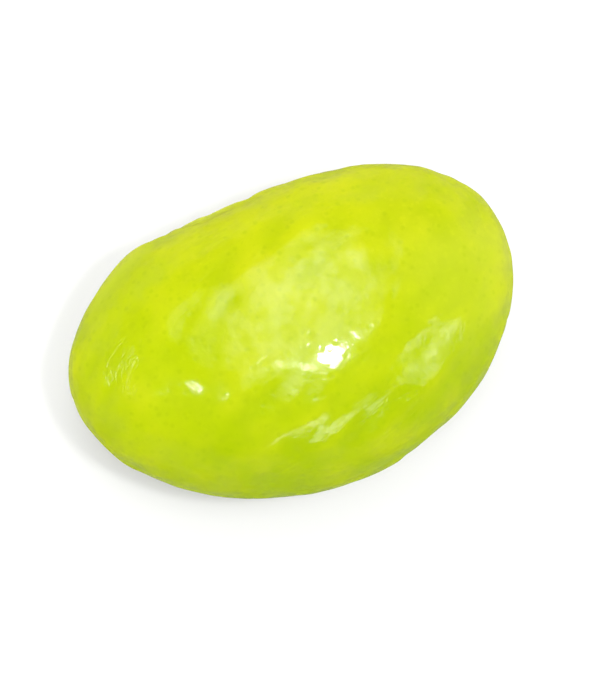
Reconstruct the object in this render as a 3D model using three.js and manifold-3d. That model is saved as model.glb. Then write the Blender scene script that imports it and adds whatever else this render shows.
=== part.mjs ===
// One shelled edamame bean (green vegetable soybean with its skin on), lying on its broad side.
//
// Millimetres, +Z up. +X is the long axis and points to the narrower end, where the young root lies
// under the skin. -Y is the belly side, slightly hollow, which carries the hilum (the scar where the
// bean was joined to its pod). +Y is the evenly rounded back. +Z runs through the thickness.
// The origin is the middle of the bean's footprint, on the surface that it lies on.
//
// The bean is one grown solid: a sphere's worth of directions is mapped to a bent, tapered, slightly
// flattened ellipsoid, the belly features are pressed into it, and a small flat is trimmed off below,
// where the soft bean settles on the surface.

import * as THREE from 'three';
import Module from 'manifold-3d';

// ---- driving dimensions (mm) ----
const HALF_LENGTH = 7.0; // half of the bean's length, along X
const HALF_WIDTH = 4.69; // half of its width from belly to back, before the bend and the belly features
const HALF_THICKNESS = 3.56; // half of its thickness, before the flat below is trimmed
const FULLNESS = 2.28; // 2 is a plain ellipsoid; more gives flatter broad sides and rounder shoulders
const BEND = 0.52; // how far both ends lean towards the belly
const TAPER = 0.042; // how much narrower the root end is than the other, as a share of the half width
const SKEW = 0.07; // the back is carried this far towards the root end

const UNEVEN = 0.011; // how far a grown bean strays from the even form, as a share of its size
const WARP = 0.1; // how far the plane where the two seed leaves meet arches above and below its own height

const HOLLOW_DEPTH = 0.26; // the belly's shallow hollow around the hilum
const HOLLOW_X = 0.8; // its centre, along X
const HOLLOW_HALF_LENGTH = 2.8;
const HOLLOW_HALF_HEIGHT = 2.2;

const ROOT_SWELL = 0.25; // the belly's shoulder between the hilum and the +X end, over the young root
const ROOT_SWELL_HALF_HEIGHT = 2.5;
const ROOT_RIDGE = 0.11; // the root itself, a low ridge along that shoulder
const ROOT_RIDGE_HALF_HEIGHT = 1.0;
const ROOT_X = 3.95;
const ROOT_HALF_LENGTH = 1.6;

const HILUM_X = 0.55; // centre of the oval scar, along X
const HILUM_HALF_LENGTH = 1.55;
const HILUM_HALF_HEIGHT = 0.6;
const HILUM_RIM = 0.07; // the raised lip around the scar
const HILUM_SINK = 0.06; // its floor lies this far below the skin

const FOOT_DEPTH = 0.1; // trimmed off below, where the bean settles

const STEPS = 28; // subdivisions along each edge of the starting cube
const CROWDING = 0.5; // how far the belly face's grid is drawn in towards the hilum, 0 to 1

// ---- the bean's surface, for a unit direction (p, q, r) ----
function beanPoint(p, q, r) {
  const flat = Math.hypot(p, q);
  const f = Math.pow(Math.pow(flat, FULLNESS) + Math.pow(Math.abs(r), FULLNESS), -1 / FULLNESS);
  p *= f;
  q *= f;
  r *= f;
  const grown =
    1 +
    UNEVEN *
      (Math.sin(2.1 * p + 1.3 * q + 0.5) + 0.8 * Math.cos(2.7 * q - 1.9 * r + 1.1) + 0.7 * Math.sin(3.1 * r + 2.3 * p - 0.4));
  const x = grown * (HALF_LENGTH * p + SKEW * q);
  let y = grown * (HALF_WIDTH * q * (1 - TAPER * p) - BEND * (p * p - 1 / 3));
  const z = grown * HALF_THICKNESS * r * (1 - TAPER * p) + WARP * Math.cos(0.5 * x + 0.25);

  const belly = 1 / (1 + Math.exp(q / 0.15)); // 1 on the belly side, 0 on the back
  const bell = (cx, sx, sz) => Math.exp(-(((x - cx) / sx) ** 2) - (z / sz) ** 2);
  y += belly * HOLLOW_DEPTH * bell(HOLLOW_X, HOLLOW_HALF_LENGTH, HOLLOW_HALF_HEIGHT);
  y -= belly * ROOT_SWELL * bell(ROOT_X, ROOT_HALF_LENGTH, ROOT_SWELL_HALF_HEIGHT);
  y -= belly * ROOT_RIDGE * bell(ROOT_X, ROOT_HALF_LENGTH, ROOT_RIDGE_HALF_HEIGHT);

  const s = Math.hypot((x - HILUM_X) / HILUM_HALF_LENGTH, z / HILUM_HALF_HEIGHT); // 1 on the scar's edge
  y -= belly * HILUM_RIM * Math.exp(-(((s - 1) / 0.3) ** 2));
  y += belly * HILUM_SINK * Math.exp(-((s / 0.75) ** 4));
  return [x, y, z];
}

// ---- a closed triangle mesh of that surface, from a cube whose faces are spread over the sphere ----
function beanMesh() {
  const positions = [];
  const triangles = [];
  const known = new Map();
  const vertexAt = (dir) => {
    const length = Math.hypot(...dir);
    const unit = dir.map((c) => c / length);
    const key = unit.map((c) => Math.round(c * 1e6)).join(',');
    if (!known.has(key)) {
      known.set(key, positions.length / 3);
      positions.push(...beanPoint(...unit));
    }
    return known.get(key);
  };
  const apart = (a, b) => Math.hypot(...[0, 1, 2].map((k) => positions[3 * a + k] - positions[3 * b + k]));
  // each face: its outward axis, then two more that make a right-handed set with it
  const faces = [
    [[1, 0, 0], [0, 1, 0], [0, 0, 1]],
    [[-1, 0, 0], [0, 0, 1], [0, 1, 0]],
    [[0, 1, 0], [0, 0, 1], [1, 0, 0]],
    [[0, -1, 0], [1, 0, 0], [0, 0, 1]],
    [[0, 0, 1], [1, 0, 0], [0, 1, 0]],
    [[0, 0, -1], [0, 1, 0], [1, 0, 0]],
  ];
  for (const [out, u, v] of faces) {
    const grid = [];
    const draw = out[1] === -1 ? CROWDING / Math.PI : 0;
    for (let i = 0; i <= STEPS; i++) {
      for (let j = 0; j <= STEPS; j++) {
        const s = (2 * i) / STEPS - 1;
        const t = (2 * j) / STEPS - 1;
        const a = Math.tan((Math.PI / 4) * (s - draw * Math.sin(Math.PI * s) * (1 - t * t)));
        const b = Math.tan((Math.PI / 4) * (t - draw * Math.sin(Math.PI * t) * (1 - s * s)));
        grid.push(vertexAt([0, 1, 2].map((k) => out[k] + a * u[k] + b * v[k])));
      }
    }
    for (let i = 0; i < STEPS; i++) {
      for (let j = 0; j < STEPS; j++) {
        const a = grid[i * (STEPS + 1) + j];
        const b = grid[(i + 1) * (STEPS + 1) + j];
        const c = grid[(i + 1) * (STEPS + 1) + j + 1];
        const d = grid[i * (STEPS + 1) + j + 1];
        // each square is split along its shorter diagonal
        if (apart(a, c) <= apart(b, d)) triangles.push(a, b, c, a, c, d);
        else triangles.push(a, b, d, b, c, d);
      }
    }
  }
  return { positions, triangles };
}

const manifold = await Module();
manifold.setup();

const { positions, triangles } = beanMesh();
const grown = new manifold.Manifold(
  new manifold.Mesh({
    numProp: 3,
    vertProperties: new Float32Array(positions),
    triVerts: new Uint32Array(triangles),
  }),
);

// The flat below: everything under this height is trimmed away, and the cut becomes z = 0.
const lowest = grown.boundingBox().min[2];
const settled = grown.trimByPlane([0, 0, 1], lowest + FOOT_DEPTH);
const box = settled.boundingBox();
const placed = settled.translate([
  -(box.min[0] + box.max[0]) / 2,
  -(box.min[1] + box.max[1]) / 2,
  -box.min[2],
]);

const out = placed.getMesh();
const geometry = new THREE.BufferGeometry();
const corners = new Float32Array(out.numVert * 3);
for (let i = 0; i < out.numVert; i++) {
  for (let k = 0; k < 3; k++) corners[3 * i + k] = out.vertProperties[i * out.numProp + k];
}
geometry.setAttribute('position', new THREE.BufferAttribute(corners, 3));
geometry.setIndex(new THREE.BufferAttribute(new Uint32Array(out.triVerts), 1));
geometry.computeVertexNormals();

// glossy, slightly waxy yellow-green seed coat
const seedCoat = new THREE.MeshStandardMaterial({
  color: new THREE.Color().setRGB(0.76, 0.87, 0.1, THREE.SRGBColorSpace),
  roughness: 0.35,
  metalness: 0,
});

const bean = new THREE.Mesh(geometry, seedCoat);
bean.name = 'edamame_bean';

const edamame = new THREE.Group();
edamame.name = 'shelled_edamame';
edamame.add(bean);

export default edamame;
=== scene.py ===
import math

import bpy
import numpy as np
from mathutils import Matrix, Vector


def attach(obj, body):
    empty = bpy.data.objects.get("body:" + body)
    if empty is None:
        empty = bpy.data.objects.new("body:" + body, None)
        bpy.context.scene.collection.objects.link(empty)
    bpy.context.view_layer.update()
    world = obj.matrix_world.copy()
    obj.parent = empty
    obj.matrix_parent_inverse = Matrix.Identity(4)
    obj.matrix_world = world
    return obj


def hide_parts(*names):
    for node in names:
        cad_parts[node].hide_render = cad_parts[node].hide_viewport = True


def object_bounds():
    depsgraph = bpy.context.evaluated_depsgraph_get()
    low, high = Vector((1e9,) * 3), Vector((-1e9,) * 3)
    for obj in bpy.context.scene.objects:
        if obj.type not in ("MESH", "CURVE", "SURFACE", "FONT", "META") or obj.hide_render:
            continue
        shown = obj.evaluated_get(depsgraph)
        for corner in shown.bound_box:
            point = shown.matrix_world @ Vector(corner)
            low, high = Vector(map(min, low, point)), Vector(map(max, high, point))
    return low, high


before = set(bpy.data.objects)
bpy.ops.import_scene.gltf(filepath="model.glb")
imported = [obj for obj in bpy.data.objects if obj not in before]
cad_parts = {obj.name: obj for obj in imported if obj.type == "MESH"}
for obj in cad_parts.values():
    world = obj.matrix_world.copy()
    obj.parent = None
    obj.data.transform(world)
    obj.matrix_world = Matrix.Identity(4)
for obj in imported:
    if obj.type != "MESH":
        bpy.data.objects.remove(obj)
cad_lo, cad_hi = [v.copy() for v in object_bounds()]
MM = 0.001

# ------------------------------------------------------------------------------------------------
# The bean's shape. Lengths in this part are millimetres, in the frame's axes: +X to the root end,
# -Y the belly with its hilum, +Y the back, +Z up through the thickness.
# ------------------------------------------------------------------------------------------------
HALF_LENGTH, HALF_WIDTH, HALF_THICKNESS = 7.0, 4.69, 3.56
FULLNESS, BEND, TAPER, SKEW, UNEVEN, WARP = 2.28, 0.52, 0.042, 0.07, 0.011, 0.1
HOLLOW_DEPTH, HOLLOW_X, HOLLOW_HALF_LENGTH, HOLLOW_HALF_HEIGHT = 0.26, 0.8, 2.8, 2.2
ROOT_SWELL, ROOT_SWELL_HALF_HEIGHT = 0.25, 2.5
ROOT_RIDGE, ROOT_RIDGE_HALF_HEIGHT = 0.11, 1.0
ROOT_X, ROOT_HALF_LENGTH = 3.95, 1.6
HILUM_X, HILUM_HALF_LENGTH, HILUM_HALF_HEIGHT = 0.55, 1.55, 0.6
HILUM_RIM, HILUM_SINK = 0.07, 0.06

STEPS = 126
CROWDING = 0.5


def bell(x, half):
    return np.exp(-((x / half) ** 2))


def sigmoid(x):
    return 1.0 / (1.0 + np.exp(-np.clip(x, -60, 60)))


def smooth(a, b, x):
    t = np.clip((x - a) / (b - a), 0.0, 1.0)
    return t * t * (3.0 - 2.0 * t)


def bean_points(d):
    """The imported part's own surface, for unit directions d (n, 3)."""
    p, q, r = d.T
    f = (np.hypot(p, q) ** FULLNESS + np.abs(r) ** FULLNESS) ** (-1.0 / FULLNESS)
    p, q, r = p * f, q * f, r * f
    grown = 1 + UNEVEN * (
        np.sin(2.1 * p + 1.3 * q + 0.5) + 0.8 * np.cos(2.7 * q - 1.9 * r + 1.1) + 0.7 * np.sin(3.1 * r + 2.3 * p - 0.4)
    )
    x = grown * (HALF_LENGTH * p + SKEW * q)
    y = grown * (HALF_WIDTH * q * (1 - TAPER * p) - BEND * (p * p - 1 / 3))
    z = grown * HALF_THICKNESS * r * (1 - TAPER * p) + WARP * np.cos(0.5 * x + 0.25)
    belly = sigmoid(-q / 0.15)
    y = y + belly * HOLLOW_DEPTH * bell(x - HOLLOW_X, HOLLOW_HALF_LENGTH) * bell(z, HOLLOW_HALF_HEIGHT)
    along = bell(x - ROOT_X, ROOT_HALF_LENGTH)
    y = y - belly * along * (ROOT_SWELL * bell(z, ROOT_SWELL_HALF_HEIGHT) + ROOT_RIDGE * bell(z, ROOT_RIDGE_HALF_HEIGHT))
    s = np.hypot((x - HILUM_X) / HILUM_HALF_LENGTH, z / HILUM_HALF_HEIGHT)
    y = y - belly * HILUM_RIM * bell(s - 1, 0.3)
    y = y + belly * HILUM_SINK * np.exp(-((s / 0.75) ** 4))
    return np.stack([x, y, z], 1), belly, q


def cube_sphere(steps):
    """Unit directions, quads, and each quad corner's place in a six-square map."""
    faces = [
        ((1, 0, 0), (0, 1, 0), (0, 0, 1)),
        ((-1, 0, 0), (0, 0, 1), (0, 1, 0)),
        ((0, 1, 0), (0, 0, 1), (1, 0, 0)),
        ((0, -1, 0), (1, 0, 0), (0, 0, 1)),
        ((0, 0, 1), (1, 0, 0), (0, 1, 0)),
        ((0, 0, -1), (0, 1, 0), (1, 0, 0)),
    ]
    g = np.linspace(-1, 1, steps + 1)
    s, t = np.meshgrid(g, g, indexing="ij")
    i, j = np.meshgrid(np.arange(steps), np.arange(steps), indexing="ij")
    n = steps + 1
    a = (i * n + j).ravel()
    quad = np.stack([a, a + n, a + n + 1, a + 1], 1)
    dirs, quads, maps = [], [], []
    margin = 0.012
    for k, (out, u, v) in enumerate(faces):
        draw = CROWDING / math.pi if out[1] == -1 else 0.0
        ss = s - draw * np.sin(math.pi * s) * (1 - t * t)
        tt = t - draw * np.sin(math.pi * t) * (1 - s * s)
        ta, tb = np.tan(math.pi / 4 * ss), np.tan(math.pi / 4 * tt)
        d = np.array(out)[None] + ta.reshape(-1, 1) * np.array(u)[None] + tb.reshape(-1, 1) * np.array(v)[None]
        dirs.append(d / np.linalg.norm(d, axis=1, keepdims=True))
        quads.append(quad + k * n * n)
        cu = (k % 3 + margin + (s + 1) / 2 * (1 - 2 * margin)) / 3
        cv = (k // 3 + margin + (t + 1) / 2 * (1 - 2 * margin)) / 2
        maps.append(np.stack([cu.ravel(), cv.ravel()], 1)[quad.ravel()])
    dirs, quads, maps = np.concatenate(dirs), np.concatenate(quads), np.concatenate(maps)
    _, first, back = np.unique(np.round(dirs * 1e6).astype(np.int64), axis=0, return_index=True, return_inverse=True)
    return dirs[first], back.reshape(-1)[quads], maps


def normals_of(points, quads):
    a, b, c, d = (points[quads[:, k]] for k in range(4))
    n = np.cross(c - a, d - b)
    out = np.zeros_like(points)
    for k in range(4):
        np.add.at(out, quads[:, k], n)
    return out / np.linalg.norm(out, axis=1, keepdims=True)


# ---- smooth noise on a lattice, the same every run ----
GRADIENTS = np.array(
    [[1, 1, 0], [-1, 1, 0], [1, -1, 0], [-1, -1, 0], [1, 0, 1], [-1, 0, 1], [1, 0, -1], [-1, 0, -1],
     [0, 1, 1], [0, -1, 1], [0, 1, -1], [0, -1, -1], [1, 1, 0], [-1, 1, 0], [0, -1, 1], [0, -1, -1]], float)


def noise(points, seed):
    cell = np.floor(points).astype(np.int64)
    f = points - cell
    w = f ** 3 * (f * (f * 6 - 15) + 10)
    total = np.zeros(len(points))
    for dx in (0, 1):
        for dy in (0, 1):
            for dz in (0, 1):
                c = cell + (dx, dy, dz)
                h = (c[:, 0] * 73856093) ^ (c[:, 1] * 19349663) ^ (c[:, 2] * 83492791) ^ (seed * 40503)
                h = (h ^ (h >> 13)) * 1274126177 & 0xFFFFFFFF
                h = (h ^ (h >> 15)) * 2246822519 & 0xFFFFFFFF
                g = GRADIENTS[(h >> 11) & 15]
                weight = (
                    (w[:, 0] if dx else 1 - w[:, 0])
                    * (w[:, 1] if dy else 1 - w[:, 1])
                    * (w[:, 2] if dz else 1 - w[:, 2])
                )
                total += weight * (g * (f - (dx, dy, dz))).sum(1)
    return total


dirs, quads, uvs = cube_sphere(STEPS)
base, belly, q = bean_points(dirs)

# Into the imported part's place: same length and width, same top, and the trimmed underside at z = 0.
lo, hi = np.array(cad_lo) / MM, np.array(cad_hi) / MM
base[:, 0] += (lo[0] + hi[0]) / 2 - (base[:, 0].min() + base[:, 0].max()) / 2
base[:, 1] += (lo[1] + hi[1]) / 2 - (base[:, 1].min() + base[:, 1].max()) / 2
middle = hi[2] - base[:, 2].max()  # height of the plane where the two seed leaves meet
base[:, 2] += middle
x, y, z = base.T
zm = z - middle
out = normals_of(base, quads)
p = dirs[:, 0]

# ---- relief of the skin, outward in millimetres ----
back = 1 - belly
hx = x - HILUM_X
scar_s = np.hypot(hx / HILUM_HALF_LENGTH, zm / HILUM_HALF_HEIGHT)

# gentle unevenness of a grown thing, and the shallow dents of a soft, cooked skin
calm = np.zeros(len(base))  # places where the skin is drawn smooth
for cx, cy, size in ((-0.2, 1.05, 1.3), (3.8, 0.5, 1.1)):
    calm = np.maximum(calm, np.exp(-(((x - cx) ** 2 + (y - cy) ** 2) / size ** 2)) * (zm > 0))
tight = 1 - 0.85 * calm
relief = 0.060 * noise(base / 4.6 + 3.1, 1) + 0.050 * noise(base / 2.5 + 7.7, 2)
relief += tight * (0.044 * noise(base / 1.3 + 1.3, 3) + 0.006 * noise(base / 0.38 + 2.2, 7))

# faint wrinkles of the loosened skin, running slantwise over the broad sides
slant = np.stack([(0.91 * x + 0.41 * y) / 1.7, (0.91 * y - 0.41 * x) / 0.62, z / 0.9], 1)
slant += 0.35 * noise(base / 1.9 + 2.7, 15)[:, None]
relief += 0.044 * tight * noise(slant + 4.9, 6) * (0.35 + 0.65 * smooth(-0.3, 0.3, noise(base / 3.0 + 8.8, 16)))

# the shallow furrow where the two seed leaves meet under the skin, wandering off the middle plane
wander = 0.22 * noise(np.stack([x / 2.6, y / 2.6, 0 * x], 1) + 5.5, 4)
zs = zm - wander
off_hilum = smooth(1.05, 1.6, scar_s)
ends = smooth(0.15, 0.85, np.abs(p))
on_rim = smooth(0.55, 0.9, np.hypot(dirs[:, 0], dirs[:, 1]))
broken = 0.45 + 0.55 * smooth(-0.25, 0.3, noise(base / 1.7 + 9.1, 13))
furrow = (0.020 + 0.022 * ends) * (0.35 + 0.65 * belly) * off_hilum * on_rim * broken
relief += furrow * (0.5 * bell(np.abs(zs) - 0.55, 0.28) - bell(zs, 0.3))

# the hilum: a slit along its floor, a pore at the root's tip, and a low raphe ridge behind it
on_belly = smooth(0.5, 0.9, belly)
slit_z = zm + 0.015 * np.sin(hx * 2.3 + 0.6)
slit = bell(slit_z, 0.055) * smooth(1.45, 0.5, np.abs(hx + 0.02)) * on_belly
relief -= 0.065 * slit
relief += 0.03 * bell(np.abs(slit_z) - 0.2, 0.1) * smooth(1.4, 0.9, np.abs(hx)) * on_belly
pore = np.exp(-(((hx - 1.86) / 0.12) ** 2 + ((zm - 0.02) / 0.09) ** 2)) * on_belly
relief -= 0.05 * pore
raphe = bell(zm - 0.05 * np.sin(hx), 0.16) * smooth(-1.6, -2.0, hx) * smooth(-4.4, -3.0, hx) * on_belly
relief += 0.040 * raphe
scar_floor = on_belly * smooth(1.0, 0.75, scar_s)
fibres = noise(np.stack([x / 0.5, y / 0.5, z / 0.11], 1), 5)
relief += 0.036 * scar_floor * fibres - 0.018 * scar_floor
lip_break = on_belly * bell(scar_s - 1.02, 0.22)
relief += lip_break * (0.012 + 0.050 * noise(base / 0.45 + 6.0, 14))

# fine creases of the skin: around the hilum, across the ends and along the back
def creases(direction, spacing, seed, width):
    along = base @ np.array(direction) / spacing + 0.9 * noise(base / 2.4 + seed, seed) + 0.25 * noise(base / 0.9 + seed, seed + 20)
    wave = np.abs((along % 1.0) - 0.5) * 2.0  # 0 on a crease
    return np.exp(-((wave / width) ** 2))


patchy = smooth(-0.05, 0.35, noise(base / 2.8 + 11.0, 8))
around_hilum = on_belly * smooth(3.6, 1.5, scar_s) * smooth(1.1, 1.5, scar_s)
mottle = smooth(-0.15, 0.3, noise(base / 1.1 + 4.4, 18))
relief -= 0.016 * around_hilum * mottle * creases((0.95, 0.0, 0.3), 0.62, 9, 0.45)
end_zone = smooth(0.72, 0.93, np.abs(p))
relief -= 0.024 * end_zone * patchy * creases((0.0, 0.5, 0.86), 0.85, 10, 0.45)
side_zone = smooth(0.35, 0.75, np.hypot(dirs[:, 0], dirs[:, 1])) * back * patchy
relief -= 0.022 * side_zone * creases((0.8, 0.55, 0.2), 1.15, 12, 0.4)

skin = base + out * relief[:, None]
# the fine relief alone: it decides where painted light goes on the ridges and painted shade into the dents and creases
fine = relief - 0.060 * noise(base / 4.6 + 3.1, 1) - 0.050 * noise(base / 2.5 + 7.7, 2)

# The underside settles onto the surface in a soft-edged flat.
w = 0.02
h = skin[:, 2]
skin[:, 2] = np.where(h > 0.4, h, w * np.logaddexp(0.0, h / w))

# The skin's unevenness never changes the part's size.
for k in range(3):
    a, b = skin[:, k].min(), skin[:, k].max()
    skin[:, k] = lo[k] + (skin[:, k] - a) * (hi[k] - lo[k]) / (b - a)

mesh = bpy.data.meshes.new("edamame_skin")
mesh.vertices.add(len(skin))
mesh.vertices.foreach_set("co", (skin * MM).astype(np.float32).ravel())
mesh.loops.add(quads.size)
mesh.loops.foreach_set("vertex_index", quads.ravel().astype(np.int32))
mesh.polygons.add(len(quads))
mesh.polygons.foreach_set("loop_start", np.arange(0, quads.size, 4, dtype=np.int32))
mesh.update(calc_edges=True)
mesh.polygons.foreach_set("use_smooth", np.ones(len(quads), bool))
layer = mesh.uv_layers.new(name="OFBake")
layer.data.foreach_set("uv", uvs.astype(np.float32).ravel())


def store(name, values):
    a = mesh.attributes.new(name, "FLOAT", "POINT")
    a.data.foreach_set("value", np.clip(values, 0, 1).astype(np.float32))


store("scar", smooth(1.06, 0.82, scar_s) * on_belly)
store("lip", bell(scar_s - 1.0, 0.2) * on_belly)
# a thin darker ring at the foot of the hilum's rim: partly the hilum's own outline, partly painted shade in the hollow
# there
store("ring", bell(scar_s - 1.24, 0.10) * on_belly * (0.4 + 0.6 * smooth(-0.3, 0.3, noise(base / 0.8 + 2.0, 17))))
store("fibre", scar_floor * smooth(-0.05, 0.45, fibres))
store("slit", slit)
store("pore", pore)
store("raphe", raphe)
store("seam", bell(zs, 0.34) * off_hilum * on_rim * broken * (0.15 + 0.85 * belly))
store("belly", smooth(2.9, 0.0, np.hypot(hx / 3.1, zm / 1.25)) * on_belly)
store("root", bell(x - ROOT_X - 0.2, 1.7) * bell(zm, 1.0) * on_belly)
# painted light: the whole belly half, the side towards the main lamps, is drawn paler
store("flank", sigmoid((-y - 0.5) / 1.6) * (1 - 0.6 * smooth(0.0, 4.0, x)))
# painted shade: the back half, away from the main lamps, is drawn darker, less so at the root end
store("back", sigmoid((y - 1.6) / 0.9) * (1 - 0.45 * smooth(3.5, 6.0, x)))
# painted shade: the middle of the broad sides, where the lamps overhead light most, is drawn deeper
store("broad", bell(x + 0.2, 4.2) * bell(y + 0.2, 2.7) * smooth(0.5, 0.9, np.abs(out[:, 2])))
store("green_end", smooth(0.5, 5.5, x))
store("pale_end", smooth(2.0, 5.0, -x) * smooth(-2.2, -0.2, y))
store("top", smooth(0.05, 0.80, np.abs(out[:, 2])))
store("loose", 0.30 + 0.70 * np.clip(smooth(0.5, 0.9, np.abs(p)) + smooth(0.45, 0.85, np.abs(dirs[:, 1])), 0, 1) - calm)
# painted light on the ridges and painted shade in the dents and creases of the fine relief
store("ridge", fine / 0.035)
store("valley", -fine / 0.035)
mesh.validate()

bean = bpy.data.objects.new("edamame_skin", mesh)
bpy.context.scene.collection.objects.link(bean)

# ------------------------------------------------------------------------------------------------
# The skin's material
# ------------------------------------------------------------------------------------------------
mat = bpy.data.materials.new("seed_coat")
mat.use_nodes = True
nt = mat.node_tree
nt.nodes.clear()


def node(kind, **inputs):
    n = nt.nodes.new(kind)
    for key, value in inputs.items():
        socket = n.inputs[key.replace("_", " ")]
        if isinstance(value, bpy.types.NodeSocket):
            nt.links.new(value, socket)
        else:
            socket.default_value = value
    return n


def attribute(name):
    n = nt.nodes.new("ShaderNodeAttribute")
    n.attribute_name = name
    return n.outputs["Fac"]


def math_node(op, a, b=0.0, clamp=False):
    n = nt.nodes.new("ShaderNodeMath")
    n.operation, n.use_clamp = op, clamp
    for k, value in enumerate((a, b)):
        if isinstance(value, bpy.types.NodeSocket):
            nt.links.new(value, n.inputs[k])
        else:
            n.inputs[k].default_value = value
    return n.outputs[0]


def remap(value, a, b, c, d):
    n = nt.nodes.new("ShaderNodeMapRange")
    n.interpolation_type = "SMOOTHSTEP"
    nt.links.new(value, n.inputs["Value"])
    for key, v in zip(("From Min", "From Max", "To Min", "To Max"), (a, b, c, d)):
        n.inputs[key].default_value = v
    return n.outputs["Result"]


def blend(factor, a, b, mode="MIX"):
    n = nt.nodes.new("ShaderNodeMix")
    n.data_type, n.blend_type, n.clamp_factor = "RGBA", mode, True
    for socket, value in ((n.inputs[0], factor), (n.inputs[6], a), (n.inputs[7], b)):
        if isinstance(value, bpy.types.NodeSocket):
            nt.links.new(value, socket)
        elif isinstance(value, tuple):
            socket.default_value = (*value, 1.0)
        else:
            socket.default_value = value
    return n.outputs[2]


place = nt.nodes.new("ShaderNodeTexCoord").outputs["Object"]


def speckle(size, detail=2.0, roughness=0.5, distortion=0.0):
    """Noise with features about this many metres across."""
    n = node("ShaderNodeTexNoise", Vector=place, Scale=1.0 / size, Detail=detail, Roughness=roughness, Distortion=distortion)
    return n.outputs["Fac"]


GREEN = (0.350, 0.408, 0.0019)
DEEP = (0.284, 0.352, 0.0010)
SHADE = (0.221, 0.314, 0.0008)
LEAF = (0.300, 0.389, 0.0011)
BUTTER = (0.372, 0.418, 0.0235)
PALE = (0.418, 0.442, 0.0085)
CREAM = (0.475, 0.525, 0.105)
SCAR = (0.455, 0.488, 0.160)
OLIVE = (0.190, 0.215, 0.025)

colour = blend(remap(speckle(0.0046, 2.0), 0.38, 0.66, 0.0, 1.0), GREEN, DEEP)
colour = blend(remap(speckle(0.0021, 3.0, 0.6), 0.46, 0.72, 0.0, 0.55), colour, PALE)
colour = blend(remap(speckle(0.00060, 3.0, 0.6), 0.48, 0.70, 0.0, 0.45), colour, DEEP)
colour = blend(remap(speckle(0.00022, 2.0, 0.5), 0.52, 0.70, 0.0, 0.45), colour, PALE)
colour = blend(remap(speckle(0.00012, 1.0, 0.5), 0.60, 0.74, 0.0, 0.60), colour, DEEP)
# painted light: the belly half paler
colour = blend(math_node("MULTIPLY", attribute("flank"), 0.35), colour, PALE)
# painted shade: the middle of the broad sides deeper
colour = blend(math_node("MULTIPLY", attribute("broad"), 0.50), colour, DEEP)
colour = blend(math_node("MULTIPLY", attribute("green_end"), 0.55), colour, LEAF)
colour = blend(math_node("MULTIPLY", attribute("pale_end"), 0.50), colour, BUTTER)
# painted shade: the back half darker
colour = blend(math_node("MULTIPLY", attribute("back"), 0.85), colour, SHADE)
# painted light on the ridges, painted shade in the dents and creases
colour = blend(math_node("MULTIPLY", attribute("ridge"), 0.30), colour, PALE)
colour = blend(math_node("MULTIPLY", attribute("valley"), 0.32), colour, SHADE)
colour = blend(math_node("MULTIPLY", attribute("belly"), 0.40), colour, PALE)
colour = blend(math_node("MULTIPLY", attribute("root"), 0.24), colour, CREAM)
colour = blend(math_node("MULTIPLY", attribute("seam"), 0.40), colour, CREAM)
colour = blend(math_node("MULTIPLY", attribute("raphe"), 0.30), colour, OLIVE)
colour = blend(math_node("MULTIPLY", attribute("scar"), 0.65), colour, SCAR)
colour = blend(math_node("MULTIPLY", attribute("lip"), 0.45), colour, CREAM)
# partly the hilum's own outline, partly painted shade
colour = blend(math_node("MULTIPLY", attribute("ring"), 0.30), colour, OLIVE)
colour = blend(math_node("MULTIPLY", attribute("fibre"), 0.28), colour, OLIVE)
colour = blend(math_node("MULTIPLY", attribute("slit"), 0.48), colour, OLIVE)
colour = blend(math_node("MULTIPLY", attribute("pore"), 0.60), colour, OLIVE)

# painted shade in the pores: each pit that the bump below dents is drawn darker, paler towards its rim
place_pores = node("ShaderNodeTexVoronoi", Vector=place, Scale=1.0 / 0.00034, Randomness=1.0)
colour = blend(remap(place_pores.outputs["Distance"], 0.10, 0.32, 0.30, 0.0), colour, SHADE)

rough = remap(speckle(0.0006, 3.0, 0.6), 0.3, 0.7, 0.38, 0.48)
film = remap(speckle(0.00062, 4.0, 0.65), 0.39, 0.61, 0.28, 0.74)  # the wet film is thinner in places
film = math_node("MULTIPLY", film, math_node("ADD", 0.75, math_node("MULTIPLY", attribute("top"), 0.25)))  # and on the flanks
rough = math_node("ADD", rough, math_node("MULTIPLY", attribute("scar"), 0.25), True)

# hair-fine wrinkles: thin lines drawn out slantwise, gathered in patches and towards the edges
turned = nt.nodes.new("ShaderNodeMapping")
turned.inputs["Rotation"].default_value = (0, 0, math.radians(-24))
nt.links.new(place, turned.inputs["Vector"])
drawn = nt.nodes.new("ShaderNodeMapping")
drawn.inputs["Scale"].default_value = (0.30, 1.0, 1.0)
nt.links.new(turned.outputs[0], drawn.inputs["Vector"])


def hairlines(size, width):
    n = node("ShaderNodeTexNoise", Vector=drawn.outputs[0], Scale=1.0 / size, Detail=3.0, Roughness=0.5, Distortion=0.35)
    off = math_node("ABSOLUTE", math_node("SUBTRACT", n.outputs["Fac"], 0.5))
    return remap(off, 0.0, width, 1.0, 0.0)


gathered = remap(speckle(0.0030, 2.0), 0.44, 0.60, 0.15, 1.0)
gathered = math_node("MULTIPLY", gathered, attribute("loose"))
lines = math_node("MAXIMUM", hairlines(0.0011, 0.030), math_node("MULTIPLY", hairlines(0.0006, 0.035), 0.6))
lines = math_node("MULTIPLY", lines, gathered)
wrinkles = node("ShaderNodeBump", Strength=1.0, Distance=0.0000065, Height=math_node("SUBTRACT", 1.0, lines))

pits = node("ShaderNodeTexVoronoi", Vector=place, Scale=1.0 / 0.00034, Randomness=1.0)
pitted = remap(pits.outputs["Distance"], 0.05, 0.42, 0.0, 1.0)
pores = node("ShaderNodeBump", Strength=1.0, Distance=0.0000030, Height=pitted, Normal=wrinkles.outputs[0])
peel = node("ShaderNodeBump", Strength=1.0, Distance=0.0000052, Height=speckle(0.00030, 2.0, 0.45), Normal=pores.outputs[0])
grain = node("ShaderNodeBump", Strength=1.0, Distance=0.0000020, Height=speckle(0.00009, 2.0, 0.5), Normal=peel.outputs[0])

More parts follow.
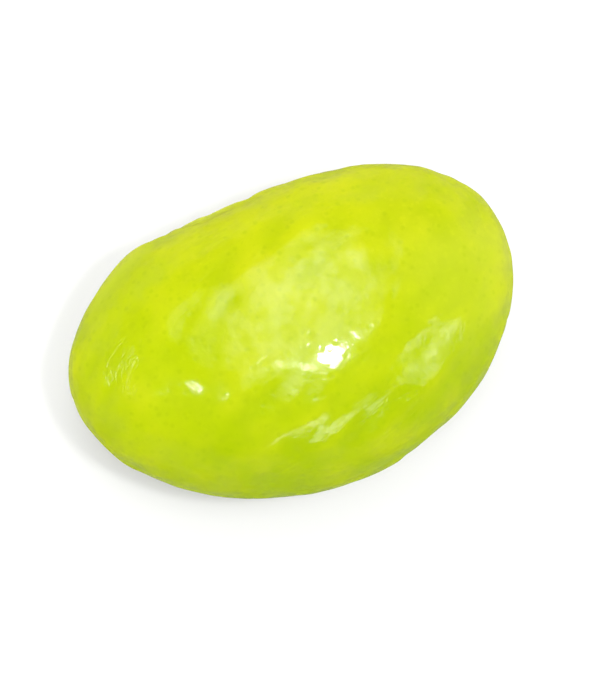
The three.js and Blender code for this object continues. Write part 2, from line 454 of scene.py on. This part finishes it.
shader = nt.nodes.new("ShaderNodeBsdfPrincipled")
nt.links.new(colour, shader.inputs["Base Color"])
nt.links.new(rough, shader.inputs["Roughness"])
nt.links.new(grain.outputs[0], shader.inputs["Normal"])
nt.links.new(grain.outputs[0], shader.inputs["Coat Normal"])
shader.inputs["IOR"].default_value = 1.45
shader.inputs["Specular IOR Level"].default_value = 0.0
shader.inputs["Subsurface Weight"].default_value = 0.40
shader.inputs["Subsurface Radius"].default_value = (1.0, 1.0, 0.2)
shader.inputs["Subsurface Scale"].default_value = 0.0006
nt.links.new(film, shader.inputs["Coat Weight"])
shader.inputs["Coat Roughness"].default_value = 0.10
shader.inputs["Coat IOR"].default_value = 1.45
output = nt.nodes.new("ShaderNodeOutputMaterial")
nt.links.new(shader.outputs[0], output.inputs["Surface"])
mesh.materials.append(mat)

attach(bean, "root")
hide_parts("edamame_bean")

# ------------------------------------------------------------------------------------------------
# Floor, light and camera
# ------------------------------------------------------------------------------------------------
floor_mesh = bpy.data.meshes.new("floor")
r = 4.0
floor_mesh.from_pydata([(-r, -r, 0), (r, -r, 0), (r, r, 0), (-r, r, 0)], [], [(0, 1, 2, 3)])
floor = bpy.data.objects.new("floor", floor_mesh)
bpy.context.scene.collection.objects.link(floor)
paper = bpy.data.materials.new("paper")
paper.use_nodes = True
ps = paper.node_tree.nodes["Principled BSDF"]
ps.inputs["Base Color"].default_value = (0.80, 0.80, 0.80, 1)
ps.inputs["Roughness"].default_value = 0.9
ps.inputs["Specular IOR Level"].default_value = 0.0
# glossy surfaces mirror the paper dimmer than it is, so the skin keeps its own colour low down
ft = paper.node_tree
ray = ft.nodes.new("ShaderNodeLightPath")
grey = ft.nodes.new("ShaderNodeBsdfDiffuse")
grey.inputs["Color"].default_value = (0.20, 0.20, 0.20, 1)
mixed = ft.nodes.new("ShaderNodeMixShader")
ft.links.new(ray.outputs["Is Glossy Ray"], mixed.inputs[0])
ft.links.new(ps.outputs[0], mixed.inputs[1])
ft.links.new(grey.outputs[0], mixed.inputs[2])
# seen straight on, the paper is dimmer and glows with painted light, so it reads as an even white with faint shadows;
# the glow is left out in an oval underneath the bean itself, which stays dark there
dull = ft.nodes.new("ShaderNodeBsdfDiffuse")
dull.inputs["Color"].default_value = (0.270, 0.270, 0.270, 1)
lifted = ft.nodes.new("ShaderNodeEmission")
spot = ft.nodes.new("ShaderNodeMapping")
spot.inputs["Scale"].default_value = (1 / 0.0070, 1 / 0.0046, 0)
ft.links.new(ft.nodes.new("ShaderNodeNewGeometry").outputs["Position"], spot.inputs["Vector"])
away = ft.nodes.new("ShaderNodeVectorMath")
away.operation = "LENGTH"
ft.links.new(spot.outputs[0], away.inputs[0])
clear = ft.nodes.new("ShaderNodeMapRange")
clear.interpolation_type = "SMOOTHSTEP"
for key, v in zip(("From Min", "From Max", "To Min", "To Max"), (0.45, 1.05, 0.0, 0.57)):
    clear.inputs[key].default_value = v
ft.links.new(away.outputs["Value"], clear.inputs["Value"])
ft.links.new(clear.outputs["Result"], lifted.inputs["Strength"])
both = ft.nodes.new("ShaderNodeAddShader")
ft.links.new(dull.outputs[0], both.inputs[0])
ft.links.new(lifted.outputs[0], both.inputs[1])
straight = ft.nodes.new("ShaderNodeMixShader")
ft.links.new(ray.outputs["Is Camera Ray"], straight.inputs[0])
ft.links.new(mixed.outputs[0], straight.inputs[1])
ft.links.new(both.outputs[0], straight.inputs[2])
ft.links.new(straight.outputs[0], ft.nodes["Material Output"].inputs["Surface"])
floor_mesh.materials.append(paper)

# The picture's own axes on the floor: the long axis runs up to the right, the belly faces up-left.
TURN = math.radians(157)
right = Vector((math.cos(TURN), math.sin(TURN), 0))
up = Vector((-math.sin(TURN), math.cos(TURN), 0))
centre = (Vector(cad_lo) + Vector(cad_hi)) / 2


def direction(r, u):
    """Unit vector that leans r to the picture's right and u to its top, from straight up."""
    return (Vector((0, 0, 1)) + right * r + up * u).normalized()


def aim(obj, away, distance, top):
    """Puts obj that far out along away, looking back at the bean, with top upwards in its view."""
    z_axis = away.normalized()
    x_axis = top.cross(z_axis).normalized()
    y_axis = z_axis.cross(x_axis)
    m = Matrix((x_axis, y_axis, z_axis)).transposed().to_4x4()
    m.translation = centre + z_axis * distance
    obj.matrix_world = m


LIGHT = 0.585


def lamp(name, r, u, distance, size_x, size_y, radiance, top=None, round_shape=False):
    data = bpy.data.lights.new(name, "AREA")
    data.shape = "ELLIPSE" if round_shape else "RECTANGLE"
    data.size, data.size_y = size_x, size_y
    area = size_x * size_y * (math.pi / 4 if round_shape else 1.0)
    data.energy = LIGHT * radiance * math.pi * area
    obj = bpy.data.objects.new(name, data)
    bpy.context.scene.collection.objects.link(obj)
    aim(obj, direction(r, u), distance, top or up)
    obj.visible_camera = False
    return obj


def mirrored_only(lamps):
    """The lamps show in the wet skin, but don't light it."""
    for obj in lamps:
        obj.visible_diffuse = obj.visible_transmission = obj.visible_volume_scatter = False


def soft_lamp(name, r, u, distance, size_x, size_y, radiance, steps, top=None):
    """A lamp that fades towards its edge: round lamps of growing size, one behind the other."""
    made = []
    for k in range(steps):
        grow = 1.6 - 1.2 * k / (steps - 1)
        made.append(lamp(f"{name}_{k}", r, u, distance + 0.01 * k, size_x * grow, size_y * grow, radiance / steps, top, True))
    return made


soft_lamp("softbox", -0.05, 0.37, 1.5, 1.02, 1.28, 10.3, 5)
lamp("bulb_a", 0.15, -0.085, 1.5, 0.14, 0.17, 375.0, right + up, round_shape=True)
lamp("bulb_b", -0.545, -0.405, 1.5, 0.09, 0.09, 170.0, round_shape=True)
soft_lamp("window", 0.62, -1.5, 1.8, 0.24, 0.85, 15.5, 4, right + up)
soft_lamp("shelf", 1.58, -0.50, 1.6, 0.48, 0.54, 15.0, 3)
soft_lamp("card", -1.9, -0.12, 1.8, 0.22, 0.66, 12.0, 3)
fill = lamp("fill", -2.5, -1.2, 1.8, 1.0, 0.5, 6.5)  # lifts the flank that the others leave in shadow
fill.visible_glossy = False
# the main highlight's tail, towards the picture's lower left
mirrored_only([lamp("bulb_c", 0.03, -0.205, 1.5, 0.20, 0.13, 44.0, right + up, round_shape=True)])
mirrored_only(soft_lamp("tail", -0.04, -0.28, 1.5, 0.36, 0.23, 8.5, 3))

world = bpy.data.worlds.new("room")
world.use_nodes = True
wt = world.node_tree
dim = wt.nodes["Background"]
dim.inputs[0].default_value = (1, 1, 1, 1)
# the room gets darker towards the horizon
height = wt.nodes.new("ShaderNodeSeparateXYZ")
wt.links.new(wt.nodes.new("ShaderNodeTexCoord").outputs["Generated"], height.inputs[0])
fall = wt.nodes.new("ShaderNodeMapRange")
for key, v in zip(("From Min", "From Max", "To Min", "To Max"), (0.15, 0.75, 0.12, 0.60)):
    fall.inputs[key].default_value = v
wt.links.new(height.outputs["Z"], fall.inputs["Value"])
wt.links.new(fall.outputs["Result"], dim.inputs[1])
# what glossy surfaces mirror of it is darker still above, as if flagged off behind the lamps
flagged = wt.nodes.new("ShaderNodeBackground")
flagged.inputs[0].default_value = (1, 1, 1, 1)
low = wt.nodes.new("ShaderNodeMapRange")
low.interpolation_type = "SMOOTHSTEP"
for key, v in zip(("From Min", "From Max", "To Min", "To Max"), (0.0, 0.32, 0.60, 0.12)):
    low.inputs[key].default_value = v
wt.links.new(height.outputs["Z"], low.inputs["Value"])
wt.links.new(low.outputs["Result"], flagged.inputs[1])
white = wt.nodes.new("ShaderNodeBackground")
white.inputs[0].default_value, white.inputs[1].default_value = (1, 1, 1, 1), 1.0
seen = wt.nodes.new("ShaderNodeLightPath")
either = wt.nodes.new("ShaderNodeMixShader")
mirrored = wt.nodes.new("ShaderNodeMixShader")
wt.links.new(seen.outputs["Is Glossy Ray"], mirrored.inputs[0])
wt.links.new(dim.outputs[0], mirrored.inputs[1])
wt.links.new(flagged.outputs[0], mirrored.inputs[2])
wt.links.new(seen.outputs["Is Camera Ray"], either.inputs[0])
wt.links.new(mirrored.outputs[0], either.inputs[1])
wt.links.new(white.outputs[0], either.inputs[2])
wt.links.new(either.outputs[0], wt.nodes["World Output"].inputs[0])
bpy.context.scene.world = world
bpy.context.scene.view_settings.view_transform = "Standard"

camera_data = bpy.data.cameras.new("camera")
camera_data.lens = 825.0
camera_data.clip_start, camera_data.clip_end = 0.01, 10.0
camera = bpy.data.objects.new("camera", camera_data)
bpy.context.scene.collection.objects.link(camera)
aim(camera, direction(-0.109, -0.126), 0.47, up)
bpy.context.scene.camera = camera

bpy.context.view_layer.update()
